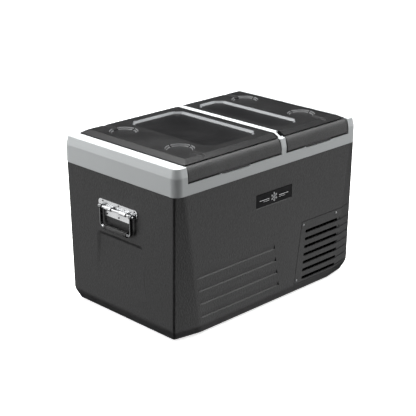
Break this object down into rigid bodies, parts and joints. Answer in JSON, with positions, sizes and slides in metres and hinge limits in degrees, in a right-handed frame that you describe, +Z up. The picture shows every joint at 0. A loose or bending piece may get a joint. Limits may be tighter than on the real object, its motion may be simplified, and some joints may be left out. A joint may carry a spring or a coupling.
{
  "type": "compressor cooler fridge",
  "caption": "Portable compressor cooler fridge with two unequal top lids over wire-basket tubs, latch bars, chrome end handles, a slotted front vent and an end control panel.",
  "frame": {"origin": "under the middle of the body, on the surface that its feet stand on", "axes": "+X along the length towards the end with the control panel, -Y towards the front with the vent and latch bars, +Z up"},
  "size_m": [0.6782, 0.41, 0.447],
  "materials": {
    "dark_body": "satin",
    "dark_lid": "satin",
    "light_grey": "satin",
    "silver_trim": "satin",
    "liner": "satin",
    "foam": "matte",
    "rubber": "matte",
    "chrome": "polished",
    "plated_steel": "satin",
    "coated_wire": "gloss",
    "black_plastic": "satin",
    "compressor_paint": "satin",
    "copper": "satin",
    "aluminium": "satin",
    "lens": "gloss"
  },
  "bodies": {
    "cabinet": {"ac_inlet": "black_plastic", "badge_plate": "black_plastic", "basket_left": "coated_wire", "basket_right": "coated_wire", "collar_frame": "light_grey", "compressor": "compressor_paint", "compressor_bracket": "plated_steel", "condenser": "aluminium", "control_bezel": "black_plastic", "control_board": "aluminium", "dc_inlet": "black_plastic", "display_lens": "lens", "fan_shroud": "black_plastic", "filter_drier": "copper", "foam_insulation": "foam", "foot_back_left": "rubber", "foot_back_right": "rubber", "foot_front_left": "rubber", "foot_front_right": "rubber", "handle_left_pin": "chrome", "handle_left_plate": "chrome", "handle_right_pin": "chrome", "handle_right_plate": "chrome", "hinge_left_fixed_leaf": "plated_steel", "hinge_left_pin": "plated_steel", "hinge_right_fixed_leaf": "plated_steel", "hinge_right_pin": "plated_steel", "latch_strike_left": "plated_steel", "latch_strike_right": "plated_steel", "liner_left": "liner", "liner_right": "liner", "outer_shell": "dark_body", "vent_panel": "dark_body"},
    "lid_left": {"lid_left_cover": "dark_lid", "lid_left_trim": "silver_trim", "lid_left_liner": "liner", "lid_left_foam": "foam", "lid_left_gasket": "rubber", "lid_left_latch_pin": "plated_steel", "hinge_left_moving_leaf": "plated_steel"},
    "latch_left": {"lid_left_latch": "dark_lid"},
    "handle_left": {"handle_left_bail": "chrome", "handle_left_grip": "rubber"},
    "lid_right": {"lid_right_cover": "dark_lid", "lid_right_trim": "silver_trim", "lid_right_liner": "liner", "lid_right_foam": "foam", "lid_right_gasket": "rubber", "lid_right_latch_pin": "plated_steel", "hinge_right_moving_leaf": "plated_steel"},
    "latch_right": {"lid_right_latch": "dark_lid"},
    "handle_right": {"handle_right_bail": "chrome", "handle_right_grip": "rubber"},
    "fan": {"fan_rotor": "black_plastic"},
    "button_power": {"button_power": "rubber"},
    "button_mode": {"button_mode": "rubber"},
    "button_down": {"button_down": "rubber"},
    "button_up": {"button_up": "rubber"}
  },
  "joints": [
    {"name": "lid_left_hinge", "type": "hinge", "parent": "cabinet", "child": "lid_left", "pos_m": [-0.1289, 0.1835, 0.4374], "axis": [-1, 0, 0], "range_deg": [0, 95]},
    {"name": "latch_left_pivot", "type": "hinge", "parent": "lid_left", "child": "latch_left", "pos_m": [-0.1289, -0.189, 0.4308], "axis": [-1, 0, 0], "range_deg": [0, 25], "stiffness_Nm_per_rad": 0.4, "springref_deg": -11.46},
    {"name": "handle_left_swing", "type": "hinge", "parent": "cabinet", "child": "handle_left", "pos_m": [-0.3327, 0, 0.2905], "axis": [0, 1, 0], "range_deg": [0, 90]},
    {"name": "lid_right_hinge", "type": "hinge", "parent": "cabinet", "child": "lid_right", "pos_m": [0.16995, 0.1835, 0.4374], "axis": [-1, 0, 0], "range_deg": [0, 95]},
    {"name": "latch_right_pivot", "type": "hinge", "parent": "lid_right", "child": "latch_right", "pos_m": [0.16995, -0.189, 0.4308], "axis": [-1, 0, 0], "range_deg": [0, 25], "stiffness_Nm_per_rad": 0.4, "springref_deg": -11.46},
    {"name": "handle_right_swing", "type": "hinge", "parent": "cabinet", "child": "handle_right", "pos_m": [0.3327, 0, 0.2905], "axis": [0, -1, 0], "range_deg": [0, 90]},
    {"name": "fan_spin", "type": "hinge", "parent": "cabinet", "child": "fan", "pos_m": [0.205, -0.1373, 0.1], "axis": [0, 1, 0], "continuous": true},
    {"name": "button_power_press", "type": "slide", "parent": "cabinet", "child": "button_power", "axis": [-1, 0, 0], "range_m": [0, 0.001], "stiffness_N_per_m": 400, "springref_m": -0.0005},
    {"name": "button_mode_press", "type": "slide", "parent": "cabinet", "child": "button_mode", "axis": [-1, 0, 0], "range_m": [0, 0.001], "stiffness_N_per_m": 400, "springref_m": -0.0005},
    {"name": "button_down_press", "type": "slide", "parent": "cabinet", "child": "button_down", "axis": [-1, 0, 0], "range_m": [0, 0.001], "stiffness_N_per_m": 400, "springref_m": -0.0005},
    {"name": "button_up_press", "type": "slide", "parent": "cabinet", "child": "button_up", "axis": [-1, 0, 0], "range_m": [0, 0.001], "stiffness_N_per_m": 400, "springref_m": -0.0005}
  ]
}
